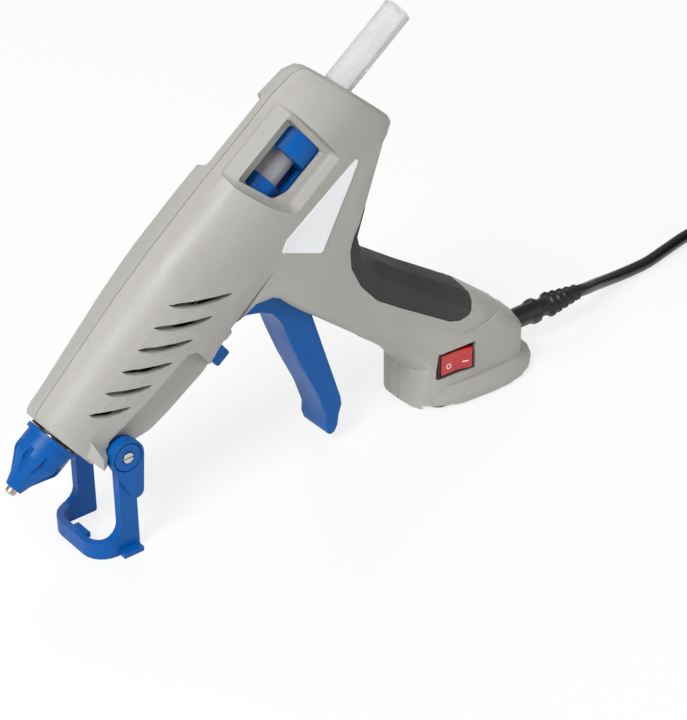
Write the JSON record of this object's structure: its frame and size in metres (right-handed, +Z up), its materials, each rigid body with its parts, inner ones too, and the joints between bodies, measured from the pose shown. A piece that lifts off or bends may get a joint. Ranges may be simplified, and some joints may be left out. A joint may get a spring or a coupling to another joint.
{
  "type": "hot glue gun",
  "caption": "Trigger-fed hot glue gun with a loaded stick, folding front stand, rocker switch in the handle's foot and a coiled mains cord.",
  "frame": {"origin": "on the surface it stands on, in the middle plane, under the front part of the handle's foot: the underside of the foot pad", "axes": "+Z up, -X towards the nozzle, +X towards the cord, +Y to the gun's right side seen from behind, which is away from the switch"},
  "size_m": [0.4659, 0.07, 0.1804],
  "materials": {
    "black": "smooth",
    "blue": "smooth",
    "ceramic": "fired",
    "clear": "translucent hot melt",
    "grip_black": "fine grain",
    "housing_grey": "fine satin moulding",
    "metal": "turned",
    "red": "translucent",
    "silicone": "matt"
  },
  "bodies": {
    "housing": {"housing_left": "housing_grey", "housing_right": "housing_grey", "soft_grip": "grip_black", "nozzle": "metal", "nozzle_shield": "blue", "front_ring": "black", "melt_chamber": "metal", "heater_left": "ceramic", "heater_right": "ceramic", "heater_spring": "metal", "chamber_mount_front": "silicone", "chamber_mount_rear": "silicone", "thermal_fuse": "metal", "inlet_sleeve": "silicone", "rear_guide": "black", "trigger_pin": "metal", "stand_bush_left": "blue", "stand_bush_right": "blue", "stand_screw_left": "metal", "stand_screw_right": "metal", "switch_body": "black", "cord_boot": "black", "cord_clamp": "black", "clamp_screw_lower": "metal", "clamp_screw_upper": "metal", "cord": "black", "cord_coil": "black", "cord_tail": "black", "lead_switched": "black", "lead_neutral": "black", "lead_live": "black", "cord_tie": "black", "plug_body": "black", "plug_pin_a": "metal", "plug_pin_b": "metal", "foot_pad": "black", "trigger_spring": "metal", "housing_screw_1": "metal", "housing_screw_2": "metal", "housing_screw_3": "metal", "housing_screw_4": "metal", "housing_screw_5": "metal", "housing_screw_6": "metal"},
    "trigger": {"trigger": "blue"},
    "feed_carriage": {"feed_carriage": "blue"},
    "glue_stick": {"glue_stick": "clear"},
    "stand": {"stand": "blue"},
    "stand_catch": {"stand_catch": "blue", "catch_spring": "metal"},
    "rocker": {"switch_rocker": "red"}
  },
  "joints": [
    {"name": "trigger_pull", "type": "hinge", "parent": "housing", "child": "trigger", "pos_m": [-0.103, 0, 0.08922], "axis": [0, -1, 0], "range_deg": [0, 15], "stiffness_Nm_per_rad": 0.6, "springref_deg": -20.05, "deforming": ["trigger_spring"]},
    {"name": "carriage_feed", "type": "slide", "parent": "housing", "child": "feed_carriage", "axis": [-0.7941, 0, -0.6078], "range_m": [0, 0.0064]},
    {"name": "stick_feed", "type": "slide", "parent": "housing", "child": "glue_stick", "axis": [0.7941, 0, 0.6078], "range_m": [0, 0.035]},
    {"name": "stand_fold", "type": "hinge", "parent": "housing", "child": "stand", "pos_m": [-0.1722, 0, 0.04357], "axis": [0, -1, 0], "range_deg": [0, 127]},
    {"name": "catch_press", "type": "slide", "parent": "housing", "child": "stand_catch", "axis": [-0.6078, 0, 0.7941], "range_m": [0, 0.002], "stiffness_N_per_m": 400, "springref_m": -0.003},
    {"name": "rocker_switch", "type": "hinge", "parent": "housing", "child": "rocker", "pos_m": [-0.0104, -0.0134, 0.0208], "axis": [0, 0, 1], "range_deg": [0, 12]}
  ],
  "couplings": [
    {"joint": "carriage_feed", "follows": "trigger_pull", "m_per_rad": 0.0242}
  ]
}
